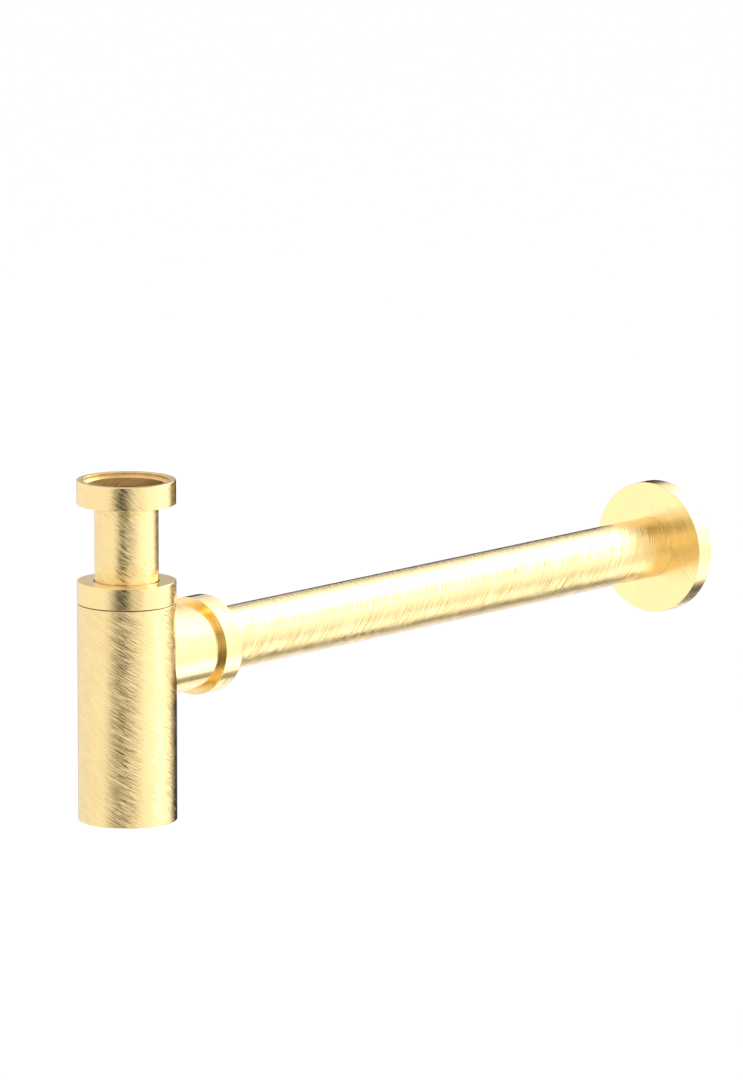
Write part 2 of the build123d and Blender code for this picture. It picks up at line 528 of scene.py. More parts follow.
@dataclass(frozen=True)
class Thread:
    """Screw thread: a triangular wave with flattened crests along a helix of one pitch per turn.

    It moves the wall towards the axis, so it is grooves on an outer wall and ridges in a bore. Where
    saddle is set, the rows below the height foot are a foot that stands on an upright shell.
    """

    wall: float
    pitch: float
    depth: float
    start: float
    end: float
    lead_in: float = 0.0
    lead_out: float = 0.0
    flank: float = 1.35
    flat: float = 0.175
    reach: float = 0.1
    slack: float = 1e-6
    rows_per_pitch: int = 12
    saddle: float = 0.0
    foot: float = 1.0

    def carve(self, radius: Array, along: Array, angle: Array) -> tuple[Array, Array]:
        """Move the wall's rows towards the axis by the wave, and stand the foot on the shell.

        The phase is the distance along the axis in pitches less the angle in turns. The wave is 1 where
        the wall moves most and 0 where it stays, and it fades out over the leads at the thread's ends.
        A point of the foot at radius r and angle a stands where x squared plus (r cos a) squared is the
        saddle's radius squared.

        Args:
            radius: radius of each grid point.
            along: distance of each grid point along the axis.
            angle: angle of each grid point.

        Returns:
            The carved radius, and the distances along the axis with the foot's rows moved.
        """
        phase = along / self.pitch - angle / TURN
        wave = np.clip(self.flank * np.abs(2 * (phase - np.floor(phase)) - 1) - self.flat, 0, 1)
        if self.lead_in:
            wave = wave * np.clip((along - self.start) / self.lead_in, 0, 1)
        if self.lead_out:
            wave = wave * np.clip((self.end - along) / self.lead_out, 0, 1)
        near = np.abs(radius - self.wall) < self.depth + self.reach
        touched = near & (along >= self.start - self.slack) & (along <= self.end + self.slack)
        radius = np.where(touched, np.minimum(radius, self.wall - self.depth * wave), radius)
        if self.saddle:
            stand = np.sqrt(self.saddle**2 - (radius * np.cos(angle)) ** 2)
            along = np.where(along < self.foot, stand + along, along)
        return radius, along

    def rows(self, outline: Array) -> Array:
        """Outline with rows added on the threaded wall.

        Each run of the outline inside the thread's length and near its wall is divided evenly.

        Args:
            outline: closed outline of radius and distance along the axis.

        Returns:
            The closed outline with the added points.
        """
        after = np.roll(outline, -1, 0)
        length = np.linalg.norm(after - outline, axis=1)
        low, high = np.minimum(outline, after), np.maximum(outline, after)
        near = np.maximum(np.abs(low[:, 0] - self.wall), np.abs(high[:, 0] - self.wall)) < self.depth
        crosses = (high[:, 1] > self.start) & (low[:, 1] < self.end)
        parts = np.ceil(length / (self.pitch / self.rows_per_pitch))
        count = np.where(near & crosses, parts, 1).astype(int)
        which = np.repeat(np.arange(len(outline)), count)
        first = np.repeat(np.cumsum(count) - count, count)
        share = (np.arange(count.sum()) - first) / np.repeat(count, count)
        return outline[which] + share[:, None] * (after - outline)[which]


def eased(corners: Sequence[Corner]) -> Array:
    """Closed outline whose corners are rounded by true arcs.

    At each corner the arc touches both edges at its rounding radius times the tangent of half the turn.
    A point on each edge just outside the arc keeps the shading of the flat beside it even.

    Args:
        corners: radius, distance along the axis and rounding radius of each corner, in order.

    Returns:
        Points of radius and distance along the axis, CORNER_POINTS to a corner.
    """
    table = np.asarray(corners, float)
    spots, rounding = table[:, :2], table[:, 2]
    before, after = np.roll(spots, 1, 0) - spots, np.roll(spots, -1, 0) - spots
    back, ahead = np.linalg.norm(before, axis=1), np.linalg.norm(after, axis=1)
    before, after = before / back[:, None], after / ahead[:, None]
    turn = np.maximum(np.arccos(np.clip(-(before * after).sum(1), -1, 1)), LEAST_TURN)
    touch = np.minimum(rounding * np.tan(turn / 2), ARC_ROOM * np.minimum(back, ahead))
    margin = np.minimum(touch + SUPPORT, SUPPORT_ROOM * np.minimum(back, ahead))[:, None]
    share = np.linspace(0, 1, ARC_STEPS)[None, :, None]
    bend = turn[:, None, None]
    centre = spots + (before + after) * (touch / (1 - np.cos(turn)))[:, None]
    start, end = spots + before * touch[:, None], spots + after * touch[:, None]
    swung = np.sin((1 - share) * bend) * (start - centre)[:, None]
    swung = swung + np.sin(share * bend) * (end - centre)[:, None]
    arc = centre[:, None] + swung / np.sin(bend)
    leads = [(spots + before * margin)[:, None], arc, (spots + after * margin)[:, None]]
    return np.concatenate(leads, 1).reshape(-1, 2)


def plain_ring(inner: float, outer: float, start: float, end: float, bore: float, rim: float) -> Array:
    """Outline of a ring whose inner corners are rounded by the radius bore and outer ones by rim."""
    return eased([(inner, start, bore), (outer, start, rim), (outer, end, rim), (inner, end, bore)])


def grid_faces(rows: int, columns: int, rows_close: bool, columns_close: bool) -> Array:
    """Four-cornered faces of a grid of points, joined round where a direction closes.

    Args:
        rows: rows of points.
        columns: points in a row.
        rows_close: whether the last row joins the first.
        columns_close: whether the last point of a row joins its first.

    Returns:
        The numbers of each face's four points.
    """
    row = np.arange(rows if rows_close else rows - 1)[:, None]
    column = np.arange(columns if columns_close else columns - 1)[None, :]
    here, below = row * columns, (row + 1) % rows * columns
    beside = (column + 1) % columns
    return np.stack([here + column, here + beside, below + beside, below + column], -1).reshape(-1, 4)


def turned(
    outline: Array,
    spindle: Spindle,
    thread: Optional[Thread] = None,
    closed: bool = True,
    start: float = 0.0,
) -> Surface:
    """Surface of an outline carried round an axis: the outline's radius and height at every angle.

    Args:
        outline: points of radius and distance along the axis.
        spindle: axis to turn on.
        thread: thread to cut.
        closed: whether the last point joins the first.
        start: angle of the first column.

    Returns:
        The surface, with runs across the axis marked as faces, those that look at it as bore, others as wall.
    """
    outline = outline if thread is None else thread.rows(outline)
    angle = start + np.arange(SEGMENTS)[None, :] * (TURN / SEGMENTS)
    shape = (len(outline), SEGMENTS)
    radius = np.broadcast_to(outline[:, :1], shape)
    along = np.broadcast_to(outline[:, 1:], shape)
    if thread is not None:
        radius, along = thread.carve(radius, along, np.broadcast_to(angle, shape))
    after = np.roll(outline, -1, 0)
    run = after - outline
    sense = (outline[:, 0] * after[:, 1] - outline[:, 1] * after[:, 0]).sum()
    kind = np.where(run[:, 1] * sense < 0, BORE, WALL)
    kind = np.where(np.abs(run[:, 0]) > np.abs(run[:, 1]), FACE, kind)
    faces = grid_faces(*shape, closed, True)
    finish = np.repeat(kind[: len(faces) // SEGMENTS], SEGMENTS)
    return Surface(spindle.place(radius, along, angle).reshape(-1, 3), faces, finish)


def new_object(name: str, points: Array, faces: Array) -> bpy.types.Object:
    """Object in the scene, with a mesh of the same name.

    Args:
        name: name of both.
        points: the mesh's points, in metres.
        faces: numbers of each face's points.

    Returns:
        The object.
    """
    mesh = bpy.data.meshes.new(name)
    mesh.from_pydata(points.tolist(), [], faces.tolist())
    made = bpy.data.objects.new(name, mesh)
    bpy.context.scene.collection.objects.link(made)
    return made


@dataclass(frozen=True)
class Role:
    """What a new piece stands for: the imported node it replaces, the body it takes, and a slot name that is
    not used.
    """

    node: str
    body: str
    slot: str

    def piece(self, surface: Surface, finishes: Sequence[Material]) -> None:
        """Make the object: weld the seams, turn the faces outward, shade smooth, dress it and let it ride.

        Args:
            surface: the piece's surface.
            finishes: materials for wall, face and bore, or fewer where the last serves for the rest.
        """
        made = new_object(self.node + "_skin", surface.points, surface.faces)
        mesh = made.data
        for finish in finishes:
            mesh.materials.append(finish)
        numbers = np.minimum(surface.finish, len(finishes) - 1).astype(np.int32)
        mesh.polygons.foreach_set("material_index", numbers)
        work = bmesh.new()
        work.from_mesh(mesh)
        bmesh.ops.remove_doubles(work, verts=work.verts, dist=WELD)
        bmesh.ops.dissolve_degenerate(work, edges=work.edges, dist=SLIVER)
        bmesh.ops.recalc_face_normals(work, faces=work.faces)
        work.to_mesh(mesh)
        work.free()
        mesh.polygons.foreach_set("use_smooth", np.ones(len(mesh.polygons), bool))
        mesh.set_sharp_from_angle(angle=math.radians(CREASE))
        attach(made, self.body)
        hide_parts(self.node)
        LOG.info("%s: %d faces on %s", made.name, len(mesh.polygons), self.body)


def span(node: str, axis: int) -> Span:
    """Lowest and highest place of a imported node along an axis, in millimetres."""
    low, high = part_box(node)
    return low[axis] / MM, high[axis] / MM


def outer_radius(node: str) -> float:
    """Outer radius of a turned node, from its width in Y, in millimetres."""
    low, high = span(node, Y)
    return (high - low) / 2


@dataclass(frozen=True)
class Palette:
    """The part's finishes as materials, each made once."""

    nut: Material
    tube: Material
    bottle: Material
    # The two bore finishes carry painted shade: their colours are darker than the gold outside.
    bore: Material
    branch_bore: Material
    top: Material
    front: Material
    rosette: Material
    pipe: Material
    branch: Material
    rubber: Material
    nylon: Material

    def upright(self, wall: Material) -> tuple[Material, ...]:
        """Finishes for wall, face and bore of an upright piece."""
        return wall, self.top, self.bore

    def level(self, wall: Material) -> tuple[Material, ...]:
        """Finishes for wall, face and bore of a level piece."""
        return wall, self.front, self.branch_bore

    @classmethod
    def mixed(cls, pipe_axis: float) -> "Palette":
        """Make every finish, from its slant, its hairs and where it differs from the plain gold.

        Args:
            pipe_axis: height of the pipe's axis, in millimetres.

        Returns:
            The palette.
        """
        upright, round_pipe = Grain.ROUND_BOTTLE, Grain.ROUND_PIPE
        across_top, across_front = Grain.ACROSS_TOP, Grain.ACROSS_FRONT
        # Bores: a rougher, browner unbrushed inside finish, whose colours are darkened further as painted
        # shade of the hollow.
        shade = {"light": (0.80, 0.53, 0.21, 1.0), "deep": (0.58, 0.36, 0.12, 1.0)}
        level = {"axis_height": pipe_axis, "radius": 16.0}
        fine = {"hair_length": 10.0, "hair_width": 0.34}
        long_hair = {"hair_length": 30.0, "hair_width": 0.46, "hair_detail": 0.3}
        gold = BrushedGold
        finishes = {
            "nut": gold("gold_nut_wall", upright, 34.0, tilt=0.20, **fine),
            "tube": gold("gold_tube_wall", upright, 32.0, radius=16.0, tilt=0.34, **fine),
            "bottle": gold("gold_bottle_wall", upright, 29.0, hair_length=15.0, hair_width=0.36, tilt=0.46),
            "bore": gold(
                "gold_bore", upright, 40.0, radius=19.5, hair_width=0.4, tilt=0.36, roughness=0.36, **shade
            ),
            "branch_bore": gold(
                "gold_branch_bore", round_pipe, -68.0, tilt=0.06, roughness=0.42, **shade, **level
            ),
            "top": gold("gold_top_face", across_top, 20.0, tilt=0.02, roughness=0.24),
            "front": gold(
                "gold_front_face", across_front, 49.0, hair_length=30.0, tilt=0.05, roughness=0.22, **level
            ),
            "rosette": gold("gold_rosette_face", across_front, 49.0, hair_length=20.0, tilt=0.13, **level),
            "pipe": gold("gold_pipe_wall", round_pipe, -58.0, tilt=0.18, **long_hair, **level),
            "branch": gold("gold_branch_wall", round_pipe, -82.0, tilt=0.03, **level),
            "rubber": SealRubber(),
            "nylon": SlipNylon(),
        }
        return cls(**{name: finish.material() for name, finish in finishes.items()})


@dataclass
class InletUnion:
    """Swivel nut for a G 1 1/4 waste tail, its rubber washer, and the dip tube with its collar."""

    finishes: Palette
    thread_radius: float
    nut_radius: float
    nut_top: float
    nut_bottom: float
    tube_radius: float
    dip_end: float
    bore: float = 15.0
    passage: float = 16.3
    collar: float = 19.076
    washer: float = 2.0
    collar_thickness: float = 1.5
    lip: float = 1.5
    relief: float = 21.176
    recess: float = 21.476
    ledge: float = 5.2
    lead: float = 0.6

    def build_nut(self) -> None:
        """Nut with its mouth recess, its plain thread wall, the relief under it and the inward lip."""
        lip = self.nut_bottom + self.lip
        outline = eased([
            (self.recess, self.nut_top, Edge.SOFT),
            (self.nut_radius, self.nut_top, Edge.SOFT),
            (self.nut_radius, self.nut_bottom, Edge.SOFT),
            (self.passage, self.nut_bottom, Edge.EASED),
            (self.passage, lip, Edge.EASED),
            (self.relief, lip, Edge.EASED),
            (self.relief, 0.0, Edge.CRISP),
            (self.thread_radius, 0.0, Edge.CRISP),
            (self.thread_radius, self.ledge - self.lead, Edge.EASED),
            (self.thread_radius + self.lead, self.ledge, Edge.EASED),
            (self.recess, self.ledge, Edge.FILLET),
        ])
        role = Role("inlet_nut", "inlet_nut", "brushed_gold")
        role.piece(turned(outline, UPRIGHT), self.finishes.upright(self.finishes.nut))

    def build_washer(self) -> None:
        """Flat washer with moulded round edges."""
        outline = plain_ring(self.bore, self.collar, 0.0, -self.washer, Edge.FULL, Edge.FULL)
        role = Role("inlet_washer", "inlet_tube", "seal_rubber")
        role.piece(turned(outline, UPRIGHT), (self.finishes.rubber,))

    def build_tube(self) -> None:
        """Dip tube with a collar at its top."""
        seat = -self.washer - self.collar_thickness
        outline = eased([
            (self.bore, -self.washer, Edge.ROUND),
            (self.collar, -self.washer, Edge.EASED),
            (self.collar, seat, Edge.EASED),
            (self.tube_radius, seat, Edge.BROKEN),
            (self.tube_radius, self.dip_end, Edge.ROUND),
            (self.bore, self.dip_end, Edge.ROUND),
        ])
        role = Role("inlet_tube", "inlet_tube", "brushed_gold")
        role.piece(turned(outline, UPRIGHT), self.finishes.upright(self.finishes.tube))

    def build(self) -> None:
        """Build the union from the nut down."""
        self.build_nut()
        self.build_washer()
        self.build_tube()


@dataclass(frozen=True)
class JointThread:
    """Thread that both compression joints share, M39 with a pitch of 1.5."""

    radius: float = 19.5
    clearance: float = 0.1
    pitch: float = 1.5
    depth: float = 0.6
    lead: float = 0.5
    fade: float = 0.6

    def male(self, start: float, end: float, lead_in: float = 0.0, saddle: float = 0.0) -> Thread:
        """Grooves on a neck or stub."""
        return Thread(self.radius, self.pitch, self.depth, start, end, lead_in, saddle=saddle)

    def female(self, start: float, end: float) -> Thread:
        """Ridges in a nut, that run in the male thread's grooves."""
        wall = self.radius + self.clearance
        return Thread(wall, self.pitch, self.depth, start, end, self.fade, self.fade)


@dataclass
class CompressionJoint:
    """Round nut, nylon slip ring and rubber cone seal that clamp a tube; heights run from the nut's face."""

    finishes: Palette
    spindle: Spindle
    nut_role: Role
    ring_role: Role
    seal_role: Role
    face_at: float
    radius: float
    height: float
    thread: JointThread
    nut_finishes: tuple[Material, ...]
    passage: float = 16.3
    gland: float = 16.05
    seat: float = 18.3
    ring_radius: float = 18.9
    face: float = 2.5
    ring: float = 1.5
    seal_stand: float = 1.6
    seal_drop: float = 3.1
    seal_tip: float = 0.5
    opening: float = 16.55
    play: float = 0.02
    thread_start: float = 0.5
    thread_stop: float = 2.0

    def build_nut(self) -> None:
        """Nut: a face with the tube's opening, and a skirt with thread ridges behind it."""
        bore = self.thread.radius + self.thread.clearance
        top, foot, inside = self.face_at, self.face_at - self.height, self.face_at - self.face
        outline = eased([
            (self.opening, top, Edge.KEEN),
            (self.radius, top, Edge.ROUND),
            (self.radius, foot, Edge.DEBURRED),
            (bore, foot, Edge.BROKEN),
            (bore, inside, Edge.BROKEN),
            (self.opening, inside, Edge.BROKEN),
        ])
        thread = self.thread.female(foot + self.thread_start, inside - self.thread_stop)
        self.nut_role.piece(turned(outline, self.spindle, thread), self.nut_finishes)

    def build_ring(self) -> None:
        """Flat slip ring under the nut's face, with a hair of play above and below."""
        top = self.face_at - self.face - self.play
        low = top - self.ring + 2 * self.play
        outline = plain_ring(self.passage, self.ring_radius, top, low, Edge.BROKEN, Edge.BROKEN)
        self.ring_role.piece(turned(outline, self.spindle), (self.finishes.nylon,))

    def build_seal(self) -> None:
        """Cone seal: a straight collar above a cone that narrows towards its tip."""
        top = self.face_at - self.face - self.ring
        outline = eased([
            (self.gland, top, Edge.EASED),
            (self.seat, top, Edge.ROUND),
            (self.seat, top - self.seal_stand, Edge.EASED),
            (self.passage + self.seal_tip, top - self.seal_drop, Edge.BROKEN),
            (self.gland, top - self.seal_drop, Edge.BROKEN),
        ])
        self.seal_role.piece(turned(outline, self.spindle), (self.finishes.rubber,))

    def build(self) -> None:
        """Build the joint from its face inward."""
        self.build_nut()
        self.build_ring()
        self.build_seal()


@dataclass
class Bottle:
    """Drawn shell with a side hole, brazed base, threaded neck ring and saddle-cut outlet stub."""

    finishes: Palette
    branch: Spindle
    thread: JointThread
    radius: float
    shoulder: float
    bottom: float
    neck_top: float
    stub_radius: float
    stub_end: float
    nut_mouth: float
    wall: float = 1.5
    passage: float = 16.3
    seat: float = 18.3
    seat_depth: float = 2.0
    neck_depth: float = 5.0
    base: float = 3.0
    rim_band: float = 1.2
    stub_lead: float = 0.4
    border_rows: int = 48
    border_columns: int = 192
    hole_steps: int = 48

    def wall_patch(self, radius: float, low: float, high: float, hole: float) -> Surface:
        """Shell wall round the side hole, one wall of it.

        The wall is unrolled into arc and height. Each ray from the hole's middle runs from the hole's
        edge, where arc = radius times arcsine of y over radius, to the border of the unrolled wall; the
        points lie on it at even shares, and are rolled up again.

        Args:
            radius: radius of this wall.
            low: lower border.
            high: upper border.
            hole: radius of the side hole.

        Returns:
            The patch, open at its borders.
        """
        half, middle = math.pi, self.branch.height
        up = np.linspace(low, high, self.border_rows, endpoint=False)
        left = half - TURN * np.arange(self.border_columns) / self.border_columns
        rise = np.concatenate([up, np.full(left.shape, high), high + low - up, np.full(left.shape, low)])
        turn = np.concatenate([np.full(up.shape, half), left, np.full(up.shape, -half), -left])
        ray = np.arctan2(rise - middle, turn * radius)
        hole_turn, hole_rise = np.arcsin(hole * np.cos(ray) / radius), middle + hole * np.sin(ray)
        share = np.linspace(0, 1, self.hole_steps)[:, None]
        angle = hole_turn + share * (turn - hole_turn)
        height = hole_rise + share * (rise - hole_rise)
        points = UPRIGHT.place(np.full_like(angle, radius), height, angle)
        faces = grid_faces(self.hole_steps, len(rise), False, True)
        kind = WALL if radius > self.radius - self.wall / 2 else BORE
        return Surface(points.reshape(-1, 3), faces, np.full(len(faces), kind))

    def build_shell(self) -> None:
        """Shell: outer and inner wall with the side hole, and a rounded rim at each end."""
        inner = self.radius - self.wall
        low, high = self.bottom + self.rim_band, self.shoulder - self.rim_band
        outside = self.wall_patch(self.radius, low, high, self.passage)
        inside = self.wall_patch(inner, low, high, self.passage)
        count = 2 * (self.border_rows + self.border_columns)
        surface = outside + inside + Surface(
            np.vstack([outside.points[:count], inside.points[:count]]),
            grid_faces(2, count, False, True),
            np.full(count, WALL),
        )
        for end, border in ((self.shoulder, high), (self.bottom, low)):
            ring = eased([
                (self.radius, border, Edge.SQUARE),
                (self.radius, end, Edge.ROUND),
                (inner, end, Edge.EASED),
                (inner, border, Edge.SQUARE),
            ])
            rounded = ring[CORNER_POINTS:-CORNER_POINTS]
            rim = np.vstack([[(self.radius, border)], rounded, [(inner, border)]])
            surface = surface + turned(rim, UPRIGHT, closed=False, start=math.pi)
        role = Role("bottle_shell", "bottle", "brushed_gold")
        role.piece(surface, self.finishes.upright(self.finishes.bottle))

    def build_base(self) -> None:
        """Base disc with rounded edges; its lower face keeps a small ring round the middle."""
        edge, top = self.radius - self.wall, self.bottom + self.base
        outline = plain_ring(0.0, edge, self.bottom, top, Edge.SQUARE, Edge.ROUND)
        rounded = outline[CORNER_POINTS - 1:-CORNER_POINTS]
        outline = np.vstack([[(0.0, self.bottom)], rounded, [(0.0, top)]])
        role = Role("bottle_base", "bottle", "brushed_gold")
        role.piece(turned(outline, UPRIGHT, closed=False), (self.finishes.top,))

    def mouth(self, end: float) -> list[Corner]:
        """Corners at the end of a threaded mouth, from its thread to the cone seal's seat.

        Args:
            end: place of the mouth along its axis.

        Returns:
            The corners, in an outline's order.
        """
        return [
            (self.thread.radius, end - self.thread.lead, Edge.CRISP),
            (self.thread.radius - self.thread.lead, end, Edge.BROKEN),
            (self.seat, end, Edge.BROKEN),
            (self.passage, end - self.seat_depth, Edge.ROUND),
        ]

    def build_neck(self) -> None:
        """Neck ring: brazed foot, male thread and the cone seal's seat."""
        inner, foot = self.radius - self.wall, self.shoulder - self.neck_depth
        outline = eased([
            (self.passage, foot, Edge.EASED),
            (inner, foot, Edge.EASED),
            (inner, self.shoulder, Edge.CRISP),
            (self.thread.radius, self.shoulder, Edge.CRISP),
            *self.mouth(self.neck_top),
        ])
        thread = self.thread.male(self.shoulder, self.neck_top)
        role = Role("neck_ring", "bottle", "brushed_gold")
        role.piece(turned(outline, UPRIGHT, thread), self.finishes.upright(self.finishes.nut))

    def build_stub(self) -> None:
        """Outlet stub: plain wall, shoulder, male thread and seat, with its foot cut to the shell's curve."""
        shoulder = self.nut_mouth - self.thread.clearance
        outline = eased([
            (self.passage, 0.0, Edge.SCRAPED),
            (self.stub_radius, 0.0, Edge.SCRAPED),
            (self.stub_radius, shoulder, Edge.CRISP),
            (self.thread.radius, shoulder, Edge.CRISP),
            *self.mouth(self.stub_end),
        ])
        thread = self.thread.male(self.nut_mouth, self.stub_end, self.stub_lead, self.radius)
        role = Role("outlet_stub", "bottle", "brushed_gold")
        role.piece(turned(outline, self.branch, thread), self.finishes.level(self.finishes.branch))

    def build(self) -> None:
        """Build the bottle from the shell out."""
        self.build_shell()
        self.build_base()
        self.build_neck()
        self.build_stub()


@dataclass
class WallRun:
    """Wall pipe, and the rosette that its rubber grip ring holds on it."""

    finishes: Palette
    branch: Spindle
    pipe_radius: float
    pipe_ends: Span
    rosette_radius: float
    rosette_ends: Span
    pipe_wall: float = 1.0
    rosette_wall: float = 1.5
    passage: float = 16.3
    lip: float = 16.01
    lip_depth: float = 0.4
    lip_back: float = 0.6
    gland: float = 16.05
    groove: float = 18.55
    hub_wall: float = 1.5
    hub_recess: float = 2.5
    groove_width: float = 3.0
    fit: float = 0.02

    def groove_ends(self) -> Span:
        """Front and back of the grip ring's groove, in the middle of the hub.

        Returns:
            Both places along the pipe.
        """
        front, back = self.rosette_ends
        middle = (front + self.rosette_wall + back - self.hub_recess) / 2
        return middle - self.groove_width / 2, middle + self.groove_width / 2

    def build_pipe(self) -> None:
        """Pipe, cut square and deburred at both ends."""
        bore, (start, end) = self.pipe_radius - self.pipe_wall, self.pipe_ends
        outline = plain_ring(bore, self.pipe_radius, start, end, Edge.DEBURRED, Edge.SOFT)
        role = Role("wall_pipe", "wall_pipe", "brushed_gold")
        role.piece(turned(outline, self.branch), self.finishes.level(self.finishes.pipe))

    def build_rosette(self) -> None:
        """Rosette: shallow cup open to the wall, with a grooved hub and a close lip round the pipe."""
        front, back = self.rosette_ends
        inside, rim = front + self.rosette_wall, self.rosette_radius - self.rosette_wall
        hub, hub_end = self.groove + self.hub_wall, back - self.hub_recess
        groove_front, groove_back = self.groove_ends()
        outline = eased([
            (self.lip, front, Edge.SHAVED),
            (self.rosette_radius, front, Edge.ROUND),
            (self.rosette_radius, back, Edge.EASED),
            (rim, back, Edge.EASED),
            (rim, inside, Edge.FULL),
            (hub, inside, Edge.FULL),
            (hub, hub_end, Edge.EASED),
            (self.passage, hub_end, Edge.EASED),
            (self.passage, groove_back, Edge.CRISP),
            (self.groove, groove_back, Edge.CRISP),
            (self.groove, groove_front, Edge.CRISP),
            (self.passage, groove_front, Edge.CRISP),
            (self.passage, front + self.lip_back, Edge.SCRAPED),
            (self.lip, front + self.lip_depth, Edge.SCRAPED),
        ])
        role = Role("wall_rosette", "rosette", "brushed_gold")
        finishes = (self.finishes.branch, self.finishes.rosette, self.finishes.branch_bore)
        role.piece(turned(outline, self.branch), finishes)

    def build_grip_ring(self) -> None:
        """Rubber ring in the groove, with a rounded back."""
        groove_front, groove_back = self.groove_ends()
        front, back, outer = groove_front + self.fit, groove_back - self.fit, self.groove - self.fit
        outline = plain_ring(self.gland, outer, front, back, Edge.FILLET, Edge.EASED)
        role = Role("rosette_grip_ring", "rosette", "seal_rubber")
        role.piece(turned(outline, self.branch), (self.finishes.rubber,))

    def build(self) -> None:
        """Build the run from the pipe to the wall."""
        self.build_pipe()
        self.build_rosette()
        self.build_grip_ring()


@dataclass(frozen=True)
class RoomPatch:
    """Dark card or soft box in the room, by the direction it is seen in, in degrees.

    With an upright pole, turn is the azimuth from the wall's direction and rise the height above the
    horizon. With a level pole, turn is the roll about the pipe from its front, and rise the height
    towards the wall.
    """

    pole: Lay
    turn: float
    rise: float
    half_turn: float
    half_rise: float
    soft: Span
    level: float

    def shade(self, sheet: NodeSheet, x: Value, y: Value, z: Value) -> Value:
        """What the patch makes of the room's light in a direction.

        The patch's cover is 1 within its half turn and half rise and falls smoothly to 0 over its
        soft edges; the factor is 1 plus the cover times what the patch's level adds to 1.

        Args:
            sheet: node sheet of the world.
            x: direction's first number.
            y: direction's second number.
            z: direction's third number.

        Returns:
            The factor, between 1 and the patch's level.
        """
        ahead, aside, top = (x, y, z) if self.pole is Lay.UPRIGHT else (-y, z, x)
        cosine, sine = heading(self.turn)
        turn = sheet.math("ARCTAN2", aside * cosine - ahead * sine, ahead * cosine + aside * sine)
        rise = sheet.math("ARCSINE", top) * RADIAN - self.rise
        across = (turn * RADIAN).size().step(self.half_turn + self.soft[0], self.half_turn)
        upward = rise.size().step(self.half_rise + self.soft[1], self.half_rise)
        return 1 + across * upward * (self.level - 1)


@dataclass(frozen=True)
class Card:
    """Upright reflector near the object that only the metal sees, with edges that fade out.

    The two numbers of half_width and of half_height are where the card's cover starts to fall and where
    it is gone, in metres.
    """

    name: str
    centre: tuple[float, float, float]
    azimuth: float
    half_width: Span
    half_height: Span
    level: float

    def build(self) -> None:
        """Make the card: its cover is a smooth step across its width times one up its height."""
        cosine, sine = heading(self.azimuth)
        aside = np.array([-sine, cosine, 0.0])
        across = np.linspace(-1, 1, 2)[None, :, None] * self.half_width[1] * aside
        rise = np.linspace(-1, 1, 2)[:, None, None] * self.half_height[1] * np.array([0.0, 0.0, 1.0])
        points = (np.array(self.centre) + across + rise).reshape(-1, 3)
        card = new_object(self.name, points, grid_faces(2, 2, False, False))
        made, sheet = new_sheet(self.name)
        x, y, z = sheet.metres()
        middle = float(np.dot(self.centre, aside))
        side = (x * float(aside[0]) + y * float(aside[1]) - middle).size().step(*self.half_width[::-1])
        cover = side * (z - self.centre[2]).size().step(*self.half_height[::-1])
        clear = sheet.add("ShaderNodeBsdfTransparent")
        felt = sheet.add("ShaderNodeEmission", None, {"Color": WHITE, "Strength": self.level})
        sheet.end(sheet.mix(cover, clear, felt))
        card.data.materials.append(made)
        card.visible_camera = card.visible_diffuse = card.visible_shadow = False


